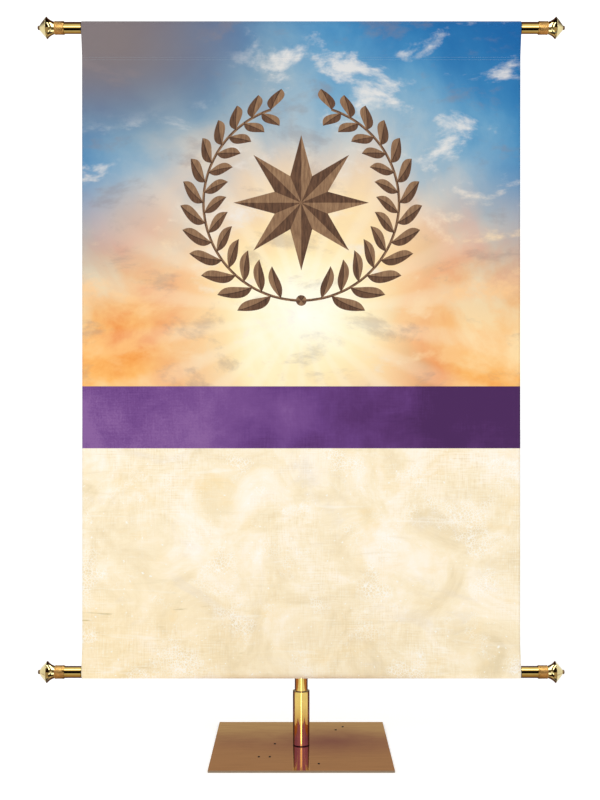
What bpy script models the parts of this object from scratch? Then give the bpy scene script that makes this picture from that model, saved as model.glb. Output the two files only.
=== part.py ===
"""A printed cloth banner on two rods, carried by a pole that stands in a square weighted base.

Metres, +Z up. The origin is on the floor, under the middle of the base plate and on the pole's axis.
The banner faces -Y and hangs in front of the pole. The pole, with all that it carries, turns in the socket.
"""

import math

import bmesh
import bpy
from mathutils import Matrix

# Driving dimensions: the cloth is a 42 by 63 in sheet on 1 1/8 in rods
CLOTH_WIDTH = 1.067
CLOTH_HEIGHT = 1.600
CLOTH_BOTTOM = 0.176
CLOTH_THICKNESS = 0.0012
SEAM_DROP = 0.070
HEM_ALLOWANCE = 0.010
ROD_RADIUS = 0.0143
ROD_WALL = 0.0015
ROD_SHOWS = 0.0428
POLE_RADIUS = 0.0159
POLE_WALL = 0.0015
POLE_ABOVE_ROD = 0.009
SOCKET_RADIUS = 0.0205
SOCKET_HEIGHT = 0.134
PLATE_SIDE = 0.430
PLATE_THICKNESS = 0.005
PLATE_CORNER = 0.002
PLATE_CORNER_STEPS = 4
COLLAR_LENGTH = 0.0234
COLLAR_RADIUS = 0.01635
FINIAL_LENGTH = 0.036
FINIAL_RIM_AT = 0.0187
FINIAL_RIM_RADIUS = 0.0265
FINIAL_TIP_RADIUS = 0.0078
CONE_CROWN = 0.0006
NECK_IN_COLLAR = 0.0051
SPIGOT_LENGTH = 0.015
BUTTON_LENGTH = 0.006
BUTTON_RADIUS = 0.00525
BUTTON_SHANK_LENGTH = 0.007
BOLT_RADIUS = 0.004
BOLT_HEAD_RADIUS = 0.008
BOLT_HEAD_DEPTH = 0.005
SPACER_RADIUS = 0.009

# Eased edges
FINE_EASE = 0.0004
TUBE_EASE = 0.0008
POLE_TOP_EASE = 0.0015
COLLAR_LEAD = 0.003

# Clearances
GAP = 0.0003
CLOTH_CLEAR_OF_POLE = 0.003
NOTCH_CLEAR = 0.002
HOLE_PAST_SHANK = 0.001
CUTTER_PAST_FACE = 0.010

# Facets
TUBE_STEPS = 48
CROWN_STEPS = 36
SMALL_STEPS = 20
SLEEVE_STEPS = 24
FLARE_STEPS = 8
CONE_STEPS = 4
SMOOTH_BELOW = math.radians(35)

# Places worked out from them
SLEEVE_RADIUS = ROD_RADIUS + GAP
SLEEVE_OUTSIDE = SLEEVE_RADIUS + CLOTH_THICKNESS
ROD_Y = -(POLE_RADIUS + CLOTH_CLEAR_OF_POLE + SLEEVE_OUTSIDE)
BOTTOM_ROD_Z = CLOTH_BOTTOM + SLEEVE_OUTSIDE
TOP_ROD_Z = CLOTH_BOTTOM + CLOTH_HEIGHT - SLEEVE_OUTSIDE
COLLAR_END_X = CLOTH_WIDTH / 2 + ROD_SHOWS + COLLAR_LENGTH
ROD_END_X = COLLAR_END_X - NECK_IN_COLLAR - GAP
POLE_FOOT_Z = PLATE_THICKNESS + GAP
POLE_TOP_Z = TOP_ROD_Z + POLE_ABOVE_ROD


def clear_scene():
    """Starts from an empty file, whatever was open."""
    for obj in list(bpy.data.objects):
        bpy.data.objects.remove(obj)


def finish_material(name, colour, roughness, metallic):
    made = bpy.data.materials.new(name)
    made.use_nodes = True
    made.diffuse_color = (*colour, 1.0)
    shader = made.node_tree.nodes["Principled BSDF"]
    shader.inputs["Base Color"].default_value = (*colour, 1.0)
    shader.inputs["Roughness"].default_value = roughness
    shader.inputs["Metallic"].default_value = metallic
    return made


def make_object(name, mesh, material=None):
    obj = bpy.data.objects.new(name, mesh)
    bpy.context.scene.collection.objects.link(obj)
    if material:
        mesh.materials.append(material)
    return obj


def mesh_from(shape, name):
    """Turns a bmesh into a mesh whose round faces are smooth and whose corners stay sharp."""
    bmesh.ops.remove_doubles(shape, verts=shape.verts, dist=1e-6)
    bmesh.ops.recalc_face_normals(shape, faces=shape.faces)
    mesh = bpy.data.meshes.new(name)
    shape.to_mesh(mesh)
    shape.free()
    mesh.shade_smooth()
    mesh.set_sharp_from_angle(angle=SMOOTH_BELOW)
    return mesh


def turned_mesh(name, profile, axis="Z", steps=TUBE_STEPS, ring=False):
    """Spins a profile of (distance along the axis, radius) points round the named axis.

    A ring's profile is a closed loop that stays off the axis; any other starts and ends on it.
    """
    turn = {
        "X": Matrix.Rotation(math.radians(90), 3, "Y"),
        "Y": Matrix.Rotation(math.radians(-90), 3, "X"),
        "Z": Matrix.Identity(3),
    }[axis]
    shape = bmesh.new()
    corners = [shape.verts.new((radius, 0, along)) for along, radius in profile]
    pairs = list(zip(corners, corners[1:]))
    if ring:
        pairs.append((corners[-1], corners[0]))
    edges = [shape.edges.new(pair) for pair in pairs]
    bmesh.ops.spin(
        shape,
        geom=corners + edges,
        cent=(0, 0, 0),
        axis=(0, 0, 1),
        angle=math.tau,
        steps=steps,
        use_merge=True,
    )
    bmesh.ops.rotate(shape, verts=shape.verts, cent=(0, 0, 0), matrix=turn)
    return mesh_from(shape, name)


def tube_profile(start, end, inside, outside, ease):
    """A tube's wall, with both outer edges eased."""
    return [
        (start, inside),
        (start, outside - ease),
        (start + ease, outside),
        (end - ease, outside),
        (end, outside - ease),
        (end, inside),
    ]


def extruded_mesh(name, outline, half_length):
    """Extrudes an outline of (y, z) points along X, the same way to both sides."""
    shape = bmesh.new()
    face = shape.faces.new([shape.verts.new((-half_length, y, z)) for y, z in outline])
    grown = bmesh.ops.extrude_face_region(shape, geom=[face])
    moved = [item for item in grown["geom"] if isinstance(item, bmesh.types.BMVert)]
    bmesh.ops.translate(shape, verts=moved, vec=(2 * half_length, 0, 0))
    return mesh_from(shape, name)


def cutter(name, mesh, location=(0, 0, 0)):
    obj = make_object(name, mesh)
    obj.location = location
    obj.hide_render = True
    obj.display_type = "WIRE"
    return obj


def box_cutter(name, size, location):
    shape = bmesh.new()
    bmesh.ops.create_cube(shape, size=1.0)
    bmesh.ops.scale(shape, verts=shape.verts, vec=size)
    return cutter(name, mesh_from(shape, name), location)


def round_cutter(name, radius, start, end, axis, location=(0, 0, 0), steps=TUBE_STEPS):
    profile = [(start, 0), (start, radius), (end, radius), (end, 0)]
    return cutter(name, turned_mesh(name, profile, axis, steps), location)


def cut(obj, *tools):
    for tool in tools:
        modifier = obj.modifiers.new("cut_" + tool.name, "BOOLEAN")
        modifier.operation = "DIFFERENCE"
        modifier.solver = "EXACT"
        modifier.object = tool


def tangent_angle(point, radius, side):
    """The angle, seen from a rod's axis, where a straight run from a point meets the circle round the rod."""
    away = math.hypot(*point)
    return math.atan2(point[1], point[0]) + side * math.acos(radius / away)


def sleeve_arc(radius, front_foot, back_foot):
    """The part of a circle that the cloth wraps, from its front run over the rod to its back run.

    The points are (y, z) from the rod's axis, with the feet of both runs below it.
    """
    start = tangent_angle(front_foot, radius, -1)
    end = tangent_angle(back_foot, radius, 1) - math.tau
    return [
        (
            radius * math.cos(start + (end - start) * step / SLEEVE_STEPS),
            radius * math.sin(start + (end - start) * step / SLEEVE_STEPS),
        )
        for step in range(SLEEVE_STEPS + 1)
    ]


def sleeve_outlines():
    """The outside of the top sleeve and the channel in it, both as points from the rod's axis.

    The cloth's front layer runs on as the panel. Its end, turned to the back, is sewn to it at the seam.
    """
    half = CLOTH_THICKNESS / 2
    outside = sleeve_arc(
        SLEEVE_OUTSIDE, (-half, -SEAM_DROP), (half + CLOTH_THICKNESS, -SEAM_DROP)
    )
    outside.insert(0, (-half, -SEAM_DROP))
    outside += [
        (half + CLOTH_THICKNESS, -SEAM_DROP),
        (half + CLOTH_THICKNESS, -SEAM_DROP - HEM_ALLOWANCE),
        (half, -SEAM_DROP - HEM_ALLOWANCE),
    ]
    foot = (half, -SEAM_DROP)
    channel = [foot] + sleeve_arc(SLEEVE_RADIUS, foot, foot)
    return outside, channel


def at_rod(points, rod_z, up):
    return [(ROD_Y + y, rod_z + up * z) for y, z in points]


def build_cloth(material):
    """One sheet: a flat panel with a sleeve turned over each rod, open at the back for the spacer."""
    outside, channel = sleeve_outlines()
    outline = at_rod(outside, TOP_ROD_Z, 1) + at_rod(reversed(outside), BOTTOM_ROD_Z, -1)
    cloth = make_object(
        "banner_cloth", extruded_mesh("banner_cloth", outline, CLOTH_WIDTH / 2), material
    )
    past_edge = CLOTH_WIDTH / 2 + CUTTER_PAST_FACE
    channels = [
        cutter(name, extruded_mesh(name, at_rod(channel, rod_z, up), past_edge))
        for name, rod_z, up in (
            ("top_channel", TOP_ROD_Z, 1),
            ("bottom_channel", BOTTOM_ROD_Z, -1),
        )
    ]
    notch_side = 2 * (SPACER_RADIUS + NOTCH_CLEAR)
    notch_depth = 2 * SLEEVE_OUTSIDE
    notch = box_cutter(
        "spacer_notch",
        (notch_side, notch_depth, notch_side),
        (0, ROD_Y + notch_depth / 2 + BOLT_RADIUS, TOP_ROD_Z),
    )
    cut(cloth, *channels, notch)
    return cloth


def build_rod(name, rod_z, material):
    profile = tube_profile(
        -ROD_END_X, ROD_END_X, ROD_RADIUS - ROD_WALL, ROD_RADIUS, FINE_EASE
    )
    rod = make_object(name, turned_mesh(name, profile, "X", ring=True), material)
    rod.location = (0, ROD_Y, rod_z)
    return rod


def collar_profile():
    """The knurled ring over a rod's end, with a sloped lead on the side of the cloth."""
    bore = ROD_RADIUS + GAP
    return [
        (-COLLAR_LENGTH, bore),
        (-COLLAR_LENGTH, bore + FINE_EASE),
        (-COLLAR_LENGTH + COLLAR_LEAD, COLLAR_RADIUS),
        (-TUBE_EASE, COLLAR_RADIUS),
        (0, COLLAR_RADIUS - TUBE_EASE),
        (0, bore),
    ]


def flare_point(share):
    """A point on the hollow flare, from the neck at 0 to just under the rim at 1."""
    swell = 0.55 * share + 0.45 * share**3
    rise = FINIAL_RIM_RADIUS - FINE_EASE - ROD_RADIUS
    return FINIAL_RIM_AT * share, ROD_RADIUS + rise * swell


def cone_point(share):
    """A point on the slightly crowned cone, from just past the rim at 0 to its flat tip at 1."""
    start = FINIAL_RIM_AT + 2 * FINE_EASE
    wide = FINIAL_RIM_RADIUS - FINE_EASE
    crown = CONE_CROWN * math.sin(math.pi * share)
    return (
        start + (FINIAL_LENGTH - start) * share,
        wide + (FINIAL_TIP_RADIUS - wide) * share + crown,
    )


def finial_profile():
    """A turned crown: a spigot in the rod, a neck in the collar, a hollow flare, a sharp rim and a cone."""
    spigot = ROD_RADIUS - ROD_WALL - GAP
    spigot_end = -NECK_IN_COLLAR - SPIGOT_LENGTH
    screw_hole = BUTTON_RADIUS / 2 + GAP
    hole_bottom = FINIAL_LENGTH - BUTTON_SHANK_LENGTH - HOLE_PAST_SHANK
    return [
        (spigot_end, 0),
        (spigot_end, spigot - TUBE_EASE),
        (spigot_end + TUBE_EASE, spigot),
        (-NECK_IN_COLLAR, spigot),
        (-NECK_IN_COLLAR, ROD_RADIUS),
        *(flare_point(step / FLARE_STEPS) for step in range(FLARE_STEPS + 1)),
        (FINIAL_RIM_AT + FINE_EASE, FINIAL_RIM_RADIUS),
        *(cone_point(step / CONE_STEPS) for step in range(CONE_STEPS + 1)),
        (FINIAL_LENGTH, screw_hole),
        (hole_bottom, screw_hole),
        (hole_bottom, 0),
    ]


def button_profile():
    """The small domed screw at the tip, with its shank in the crown."""
    shank = BUTTON_RADIUS / 2
    shank_end = FINIAL_LENGTH - BUTTON_SHANK_LENGTH
    start = FINIAL_LENGTH + GAP
    end = FINIAL_LENGTH + BUTTON_LENGTH
    return [
        (shank_end, 0),
        (shank_end, shank),
        (start, shank),
        (start, BUTTON_RADIUS - TUBE_EASE),
        (start + TUBE_EASE, BUTTON_RADIUS),
        (end - 0.38 * BUTTON_LENGTH, BUTTON_RADIUS),
        (end - 0.14 * BUTTON_LENGTH, 0.81 * BUTTON_RADIUS),
        (end - 0.04 * BUTTON_LENGTH, 0.50 * BUTTON_RADIUS),
        (end, 0),
    ]


def build_rod_ends(polished, knurled, dull):
    """A collar, a crown and its button on each of the four rod ends, from three shared meshes."""
    pieces = (
        ("collar", turned_mesh("collar", collar_profile(), "X", CROWN_STEPS, ring=True), knurled),
        ("finial", turned_mesh("finial", finial_profile(), "X", CROWN_STEPS), polished),
        ("button", turned_mesh("button", button_profile(), "X", SMALL_STEPS), dull),
    )
    for piece, mesh, material in pieces:
        mesh.materials.append(material)
        for row, rod_z in (("top", TOP_ROD_Z), ("bottom", BOTTOM_ROD_Z)):
            for side, sign in (("left", -1), ("right", 1)):
                obj = make_object(f"{row}_{side}_{piece}", mesh)
                obj.location = (sign * COLLAR_END_X, ROD_Y, rod_z)
                if side == "left":
                    obj.rotation_euler = (0, 0, math.pi)


def build_pole(material):
    """A tube that is open at its foot and closed by a plain eased top."""
    inside = POLE_RADIUS - POLE_WALL
    profile = [
        (POLE_FOOT_Z, inside),
        (POLE_FOOT_Z, POLE_RADIUS - FINE_EASE),
        (POLE_FOOT_Z + FINE_EASE, POLE_RADIUS),
        (POLE_TOP_Z - POLE_TOP_EASE, POLE_RADIUS),
        (POLE_TOP_Z - 0.3 * POLE_TOP_EASE, POLE_RADIUS - 0.3 * POLE_TOP_EASE),
        (POLE_TOP_Z, POLE_RADIUS - POLE_TOP_EASE),
        (POLE_TOP_Z, 0),
        (POLE_TOP_Z - POLE_WALL, 0),
        (POLE_TOP_Z - POLE_WALL, inside),
    ]
    return make_object("pole", turned_mesh("pole", profile, ring=True), material)


def build_rod_joint(pole, top_rod, satin, dull):
    """The saddle between the pole and the top rod, and the bolt that holds all three together."""
    rod_to_pole = (0, 0, TOP_ROD_Z)
    hole_end = POLE_RADIUS + CUTTER_PAST_FACE
    hole = round_cutter(
        "bolt_hole", BOLT_RADIUS + GAP, ROD_Y, hole_end, "Y", rod_to_pole, SMALL_STEPS
    )
    cut(pole, hole)
    cut(top_rod, hole)

    spacer_profile = [(ROD_Y, 0), (ROD_Y, SPACER_RADIUS), (0, SPACER_RADIUS), (0, 0)]
    spacer = make_object("rod_spacer", turned_mesh("rod_spacer", spacer_profile, "Y"), satin)
    spacer.location = rod_to_pole
    pole_shape = round_cutter(
        "pole_shape", POLE_RADIUS + GAP, TOP_ROD_Z - SEAM_DROP, TOP_ROD_Z + SEAM_DROP, "Z"
    )
    rod_shape = round_cutter(
        "rod_shape", ROD_RADIUS + GAP, -SEAM_DROP, SEAM_DROP, "X", (0, ROD_Y, TOP_ROD_Z)
    )
    cut(spacer, pole_shape, rod_shape, hole)

    head = POLE_RADIUS + GAP
    bolt_profile = [
        (ROD_Y + BOLT_RADIUS, 0),
        (ROD_Y + BOLT_RADIUS, BOLT_RADIUS),
        (head, BOLT_RADIUS),
        (head, BOLT_HEAD_RADIUS),
        (head + 0.6 * BOLT_HEAD_DEPTH, BOLT_HEAD_RADIUS),
        (head + 0.9 * BOLT_HEAD_DEPTH, 0.7 * BOLT_HEAD_RADIUS),
        (head + BOLT_HEAD_DEPTH, 0),
    ]
    bolt = make_object("rod_bolt", turned_mesh("rod_bolt", bolt_profile, "Y", SMALL_STEPS), dull)
    bolt.location = rod_to_pole


def build_socket(material):
    """The thick tube on the plate that the pole stands in, eased at its mouth and its foot."""
    bore = POLE_RADIUS + GAP
    foot = PLATE_THICKNESS + GAP
    top = foot + SOCKET_HEIGHT
    profile = [
        (foot, bore),
        (foot, SOCKET_RADIUS - TUBE_EASE),
        (foot + TUBE_EASE, SOCKET_RADIUS),
        (top - TUBE_EASE, SOCKET_RADIUS),
        (top, SOCKET_RADIUS - TUBE_EASE),
        (top, bore + TUBE_EASE),
        (top - TUBE_EASE, bore),
    ]
    return make_object("socket", turned_mesh("socket", profile, ring=True), material)


def build_plate(material):
    """The square sheet that stands on the floor, with its corners and edges just eased."""
    shape = bmesh.new()
    bmesh.ops.create_cube(shape, size=1.0)
    bmesh.ops.scale(shape, verts=shape.verts, vec=(PLATE_SIDE, PLATE_SIDE, PLATE_THICKNESS))
    bmesh.ops.translate(shape, verts=shape.verts, vec=(0, 0, PLATE_THICKNESS / 2))
    upright = [edge for edge in shape.edges if edge.calc_length() < 2 * PLATE_THICKNESS]
    bmesh.ops.bevel(
        shape,
        geom=upright,
        offset=PLATE_CORNER,
        segments=PLATE_CORNER_STEPS,
        profile=0.5,
        affect="EDGES",
        material=-1,
    )
    plate = make_object("base_plate", mesh_from(shape, "base_plate"), material)
    eased = plate.modifiers.new("eased_edges", "BEVEL")
    eased.width = FINE_EASE
    eased.segments = 2
    eased.limit_method = "ANGLE"
    eased.angle_limit = math.radians(60)
    return plate


def main():
    clear_scene()
    polished = finish_material("polished_brass", (0.80, 0.58, 0.24), 0.12, 1.0)
    knurled = finish_material("knurled_brass", (0.72, 0.44, 0.15), 0.38, 1.0)
    dull = finish_material("dull_brass", (0.45, 0.33, 0.19), 0.42, 1.0)
    satin = finish_material("satin_brass", (0.72, 0.51, 0.21), 0.22, 1.0)
    bronzed = finish_material("bronzed_plate", (0.36, 0.19, 0.09), 0.25, 1.0)
    cloth = finish_material("printed_cloth", (0.85, 0.70, 0.50), 0.85, 0.0)

    build_plate(bronzed)
    build_socket(satin)
    pole = build_pole(satin)
    top_rod = build_rod("top_rod", TOP_ROD_Z, polished)
    build_rod("bottom_rod", BOTTOM_ROD_Z, polished)
    build_rod_joint(pole, top_rod, satin, dull)
    build_rod_ends(polished, knurled, dull)
    build_cloth(cloth)


main()
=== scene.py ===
"""The looks of a church banner: its printed cloth, its brass rods and ends, and the stand that carries it.

Metres, +Z up. The printed side faces -Y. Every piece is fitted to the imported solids.
"""

import math

import bmesh
import bpy
from mathutils import Matrix, Vector


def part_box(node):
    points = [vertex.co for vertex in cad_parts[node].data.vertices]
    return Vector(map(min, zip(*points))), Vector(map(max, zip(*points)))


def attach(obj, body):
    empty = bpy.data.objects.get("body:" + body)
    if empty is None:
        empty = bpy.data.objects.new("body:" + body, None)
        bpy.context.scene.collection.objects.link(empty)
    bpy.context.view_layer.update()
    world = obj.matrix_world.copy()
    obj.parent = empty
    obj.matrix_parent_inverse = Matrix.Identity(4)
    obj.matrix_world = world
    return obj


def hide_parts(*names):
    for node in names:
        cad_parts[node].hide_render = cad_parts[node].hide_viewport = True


bl_info = {
    "name": "Church Banner",
    "version": (1, 0, 0),
    "blender": (4, 5, 0),
    "location": "3D View > Sidebar > Banner",
    "description": "Dresses the solids of a church banner and its stand with finished pieces",
    "category": "Add Mesh",
}

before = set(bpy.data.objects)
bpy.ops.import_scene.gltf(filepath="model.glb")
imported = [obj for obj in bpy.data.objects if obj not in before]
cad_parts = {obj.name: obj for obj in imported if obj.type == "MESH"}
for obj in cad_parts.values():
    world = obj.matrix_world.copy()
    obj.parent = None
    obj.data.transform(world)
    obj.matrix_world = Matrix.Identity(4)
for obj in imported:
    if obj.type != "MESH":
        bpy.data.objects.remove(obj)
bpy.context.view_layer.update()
MM = 0.001

# What carries what
UPRIGHT = "upright"
STAND = "stand_base"

# The cloth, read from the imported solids
CLOTH_LOW, CLOTH_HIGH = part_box("banner_cloth")
TOP_ROD_LOW, TOP_ROD_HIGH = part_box("top_rod")
BOTTOM_ROD_LOW, BOTTOM_ROD_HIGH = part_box("bottom_rod")
CLOTH_WIDTH = CLOTH_HIGH.x - CLOTH_LOW.x
ROD_RADIUS = (TOP_ROD_HIGH.z - TOP_ROD_LOW.z) / 2
ROD_Y = (TOP_ROD_HIGH.y + TOP_ROD_LOW.y) / 2
TOP_ROD_Z = (TOP_ROD_HIGH.z + TOP_ROD_LOW.z) / 2
BOTTOM_ROD_Z = (BOTTOM_ROD_HIGH.z + BOTTOM_ROD_LOW.z) / 2
ROD_END_X = TOP_ROD_HIGH.x
SOLID_CLOTH = CLOTH_HIGH.z - TOP_ROD_HIGH.z - 0.3 * MM
SLEEVE_RADIUS = ROD_RADIUS + 0.3 * MM + SOLID_CLOTH / 2
SEAM_DROP = 70 * MM
HEM = 10 * MM
NOTCH_HALF = 11 * MM

BOLT_RADIUS = 4.3 * MM
TUBE_WALL = 1.5 * MM
# Heights of the painted shade rings at the socket's mouth and foot
RING_MOUTH = 1.3 * MM
RING_FOOT = 1.6 * MM
PLATE_CORNER = 2 * MM
PLATE_EDGE = 0.25 * MM

# Marks on the base plate, as places on it and their reach
PLUM_PATCHES = (((0.080, 0.03, 0), 0.32, 0.92), ((-0.17, 0.04, 0), 0.25, 0.42))
SPECKS = (
    (-0.065, 0.007),
    (-0.101, -0.104),
    (-0.075, -0.104),
    (0.089, 0.137),
    (0.108, 0.167),
    (0.041, -0.160),
)
SPECK_RADIUS = 4.0 * MM
# Painted shade on brass, in the rod ends inside the sleeve mouths and in rings at the socket's mouth and
# foot: its soft edge and its colour
PAINTED_SHADE_EDGE = 0.6 * MM
PAINTED_SHADE = "#2A2022"
# Tones of the base plate; the golden back tone is a painted reflection
PLATE_PAINTED_REFLECTION = "#FFDEA2"
PLATE_STREAKS = "#B07A50"
PLATE_PLUM = "#96304C"
PLATE_SPECKS = "#1C1412"
PLATE_CUT_EDGE = "#8E7B66"

# The print, as heights above the floor
BAND_BOTTOM = 0.737
BAND_TOP = 0.888
GLOW_PLACE = (0.0, 1.06)
WREATH_PLACE = (0.0, 1.335)
WREATH_RADIUS = 0.238
LEAVES_A_SIDE = 15
LEAF_LENGTH = 0.088
LEAF_HALF_WIDTH = 0.0145
LEAF_LEAN = math.radians(52)
STAR_POINTS = 8
STAR_OUT = 0.165
STAR_IN = 0.070
STEM_HALF_WIDTH = 3.2 * MM
RIB_HALF_WIDTH = 1.0 * MM
KNOT_RADIUS = 13 * MM


def srgb(code):
    """The linear values of an sRGB hex colour."""
    shares = [int(code[i : i + 2], 16) / 255 for i in (1, 3, 5)]
    return tuple(s / 12.92 if s <= 0.04045 else ((s + 0.055) / 1.055) ** 2.4 for s in shares)


def rgba(code):
    return (*srgb(code), 1.0)


def colour_setting(name, description, code):
    return bpy.props.FloatVectorProperty(
        name=name,
        description=description,
        subtype="COLOR",
        size=3,
        min=0.0,
        max=1.0,
        default=srgb(code),
    )


def length_setting(name, description, default, low=0.0, high=5.0):
    return bpy.props.FloatProperty(
        name=name,
        description=description,
        subtype="DISTANCE",
        unit="LENGTH",
        default=default,
        min=low,
        max=high,
    )


class BannerClothSettings(bpy.types.PropertyGroup):
    thickness: length_setting("Thickness", "Thickness of the cloth", 0.8 * MM, 0.2 * MM, 3 * MM)
    unevenness: length_setting("Unevenness", "How far the hanging panel strays from flat", 1.3 * MM)
    thread: length_setting("Thread spacing", "Spacing of the weave as drawn", 1.1 * MM, 0.1 * MM)
    stitch: length_setting("Stitch", "Length of one stitch and its gap", 3.4 * MM, 1 * MM, 0.02)
    band: colour_setting("Band", "Plain band between the picture and the panel", "#683C86")
    parchment: colour_setting("Parchment", "Ground of the lower panel", "#FCEBC9")
    reverse: colour_setting("Reverse", "Unprinted side of the cloth", "#F0EBE2")


class BannerBrassSettings(bpy.types.PropertyGroup):
    polished: colour_setting("Polished brass", "Rods", "#F2CB6C")
    turned: colour_setting("Turned brass", "Crowns on the rod ends", "#F0DC98")
    knurled: colour_setting("Knurled brass", "Collars on the rods", "#E2B066")
    dull: colour_setting("Dull brass", "Small screws", "#8E7350")
    satin: colour_setting("Satin brass", "Pole and socket", "#F0D070")
    bronzed: colour_setting("Bronzed plate", "Square base plate", "#E4AF7E")
    knurl: length_setting("Knurl pitch", "Distance between the knurl's grooves", 1.7 * MM, 0.5 * MM, 0.01)


class BannerStageSettings(bpy.types.PropertyGroup):
    floor: colour_setting("Floor", "Pale studio floor", "#F7F7F7")
    camera_distance: length_setting("Camera distance", "From the pole to the camera", 3.08, 1.0, 20.0)
    camera_height: length_setting("Camera height", "Above the floor", 0.863, 0.0, 5.0)
    tilt: bpy.props.FloatProperty(
        name="Tilt",
        description="How far the camera looks down",
        subtype="ANGLE",
        default=math.radians(0.157),
        min=-1.0,
        max=1.0,
    )
    lens: bpy.props.FloatProperty(
        name="Lens",
        description="Focal length on a 36 mm sensor",
        subtype="DISTANCE_CAMERA",
        default=56.26,
        min=10.0,
        max=500.0,
    )


def feed(tree, socket, value):
    """Links a node or an output to an input, or sets the input's own value."""
    if isinstance(value, bpy.types.Node):
        value = value.outputs[0]
    if isinstance(value, bpy.types.NodeSocket):
        tree.links.new(value, socket)
    else:
        socket.default_value = value


def add(tree, kind, inputs=None, **settings):
    """Adds a shader node, sets what it is told, and feeds its inputs."""
    node = tree.nodes.new("ShaderNode" + kind)
    for name, value in settings.items():
        setattr(node, name, value)
    for name, value in (inputs or {}).items():
        feed(tree, node.inputs[name], value)
    return node


def ramp(node, stops, interpolation="LINEAR"):
    """Sets a colour ramp's stops, given as (place, sRGB hex)."""
    scale = node.color_ramp
    scale.interpolation = interpolation
    while len(scale.elements) < len(stops):
        scale.elements.new(0.5)
    for element, (place, code) in zip(scale.elements, stops):
        element.position = place
        element.color = rgba(code)
    return node


def new_material(name, **values):
    """A material with its shader, whose plain values are set on the shader's own sockets."""
    material = bpy.data.materials.new(name)
    material.use_nodes = True
    tree = material.node_tree
    shader = tree.nodes["Principled BSDF"]
    for socket, value in values.items():
        shader.inputs[socket.replace("_", " ")].default_value = value
    return material, tree, shader


def math_node(tree, operation, *inputs):
    """The result of one maths step."""
    return add(tree, "Math", dict(enumerate(inputs)), operation=operation).outputs[0]


def noise(tree, place, scale, detail=4.0, roughness=0.5, distortion=0.0):
    inputs = {"Vector": place, "Scale": scale, "Detail": detail}
    inputs.update({"Roughness": roughness, "Distortion": distortion})
    return add(tree, "TexNoise", inputs).outputs["Fac"]


def smooth(tree, value, low, high, most=1.0):
    """Rises smoothly from 0 at low to most at high."""
    inputs = {"Value": value, "From Min": low, "From Max": high, "To Min": 0.0, "To Max": most}
    return add(tree, "MapRange", inputs, interpolation_type="SMOOTHSTEP").outputs[0]


def mixed(tree, factor, first, second, blend_type="MIX"):
    inputs = {"Factor": factor, "A": first, "B": second}
    mix = add(tree, "Mix", data_type="RGBA", blend_type=blend_type)
    for name, value in inputs.items():
        socket = next(s for s in mix.inputs if s.name == name and (name == "Factor" or s.type == "RGBA"))
        feed(tree, socket, value)
    return next(s for s in mix.outputs if s.type == "RGBA")


# The print


def print_place(tree):
    """Where a point is on the cloth laid flat: metres from its middle line, and metres above the floor."""
    cloth_map = add(tree, "UVMap", uv_map="cloth")
    place = add(
        tree,
        "Mapping",
        {
            "Vector": cloth_map,
            "Location": (-CLOTH_WIDTH / 2, CLOTH_PATH.start, 0),
            "Scale": (CLOTH_WIDTH, CLOTH_PATH.length, 1),
        },
    )
    return place


def from_centre(tree, place, centre):
    """A point's offset from a centre, split, with its distance."""
    offset = add(tree, "VectorMath", {0: place, 1: (*centre, 0)}, operation="SUBTRACT")
    split = add(tree, "SeparateXYZ", {0: offset})
    distance = add(tree, "VectorMath", {0: offset}, operation="LENGTH").outputs["Value"]
    return split.outputs["X"], split.outputs["Y"], distance


def sky_print(tree, place):
    """A soft glow low in the middle, with faint beams and drifting cloud over blue, peach and grey."""
    across, up, distance = from_centre(tree, place, GLOW_PLACE)
    drift = noise(tree, place, 3.1, 6.0, 0.55, 0.4)
    wander = math_node(tree, "MULTIPLY_ADD", drift, 0.46, -0.23)
    reach = math_node(tree, "ADD", distance, wander)
    glow = ramp(
        add(tree, "ValToRGB", {0: reach}),
        [
            (0.03, "#FFFEF2"),
            (0.13, "#FFF2C4"),
            (0.24, "#FBDCA4"),
            (0.36, "#E6CDB4"),
            (0.46, "#B2C0C6"),
            (0.56, "#6FA6C6"),
            (0.68, "#2E82B8"),
            (0.84, "#005C9E"),
        ],
        "B_SPLINE",
    )

    beside = math_node(tree, "ABSOLUTE", across)
    low_side = smooth(tree, up, 0.42, -0.10)
    far_side = smooth(tree, beside, 0.12, 0.42)
    warm = math_node(tree, "MULTIPLY", low_side, far_side)
    warm_tone = ramp(
        add(tree, "ValToRGB", {0: drift}),
        [(0.36, "#C8742E"), (0.46, "#EE8E36"), (0.55, "#F9B765"), (0.66, "#FCD9A0")],
    )
    warmed = mixed(tree, warm, glow, warm_tone)

    high = smooth(tree, up, 0.30, 0.66, 0.9)
    left = smooth(tree, across, 0.10, -0.46)
    dusk = math_node(tree, "MULTIPLY", high, left)
    dusked = mixed(tree, dusk, warmed, rgba("#83746D"))

    turn = math_node(tree, "ARCTAN2", across, up)
    beam = math_node(tree, "COSINE", math_node(tree, "MULTIPLY", turn, 22.0))
    beam = smooth(tree, beam, -0.4, 1.0, 0.22)
    fade = smooth(tree, distance, 0.75, 0.10)
    beamed = mixed(tree, math_node(tree, "MULTIPLY", beam, fade), dusked, rgba("#FFF8E2"))

    stretched = add(tree, "Mapping", {"Vector": place, "Location": (5.3, 0.9, 0), "Scale": (1, 1.7, 1)})
    billow = noise(tree, stretched, 5.2, 9.0, 0.62, 0.25)
    cloud = smooth(tree, billow, 0.53, 0.68, 0.80)
    clear = smooth(tree, dusk, 0.55, 0.10)
    cloud = math_node(tree, "MULTIPLY", cloud, clear)
    cloud_tone = ramp(
        add(tree, "ValToRGB", {0: warm}), [(0.0, "#EDE7E0"), (0.4, "#F8DDB4"), (1.0, "#F9BE78")]
    )
    clouded = mixed(tree, cloud, beamed, cloud_tone)
    shade = smooth(tree, billow, 0.46, 0.34, 0.35)
    return mixed(tree, shade, clouded, rgba("#8C7F80"))


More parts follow.
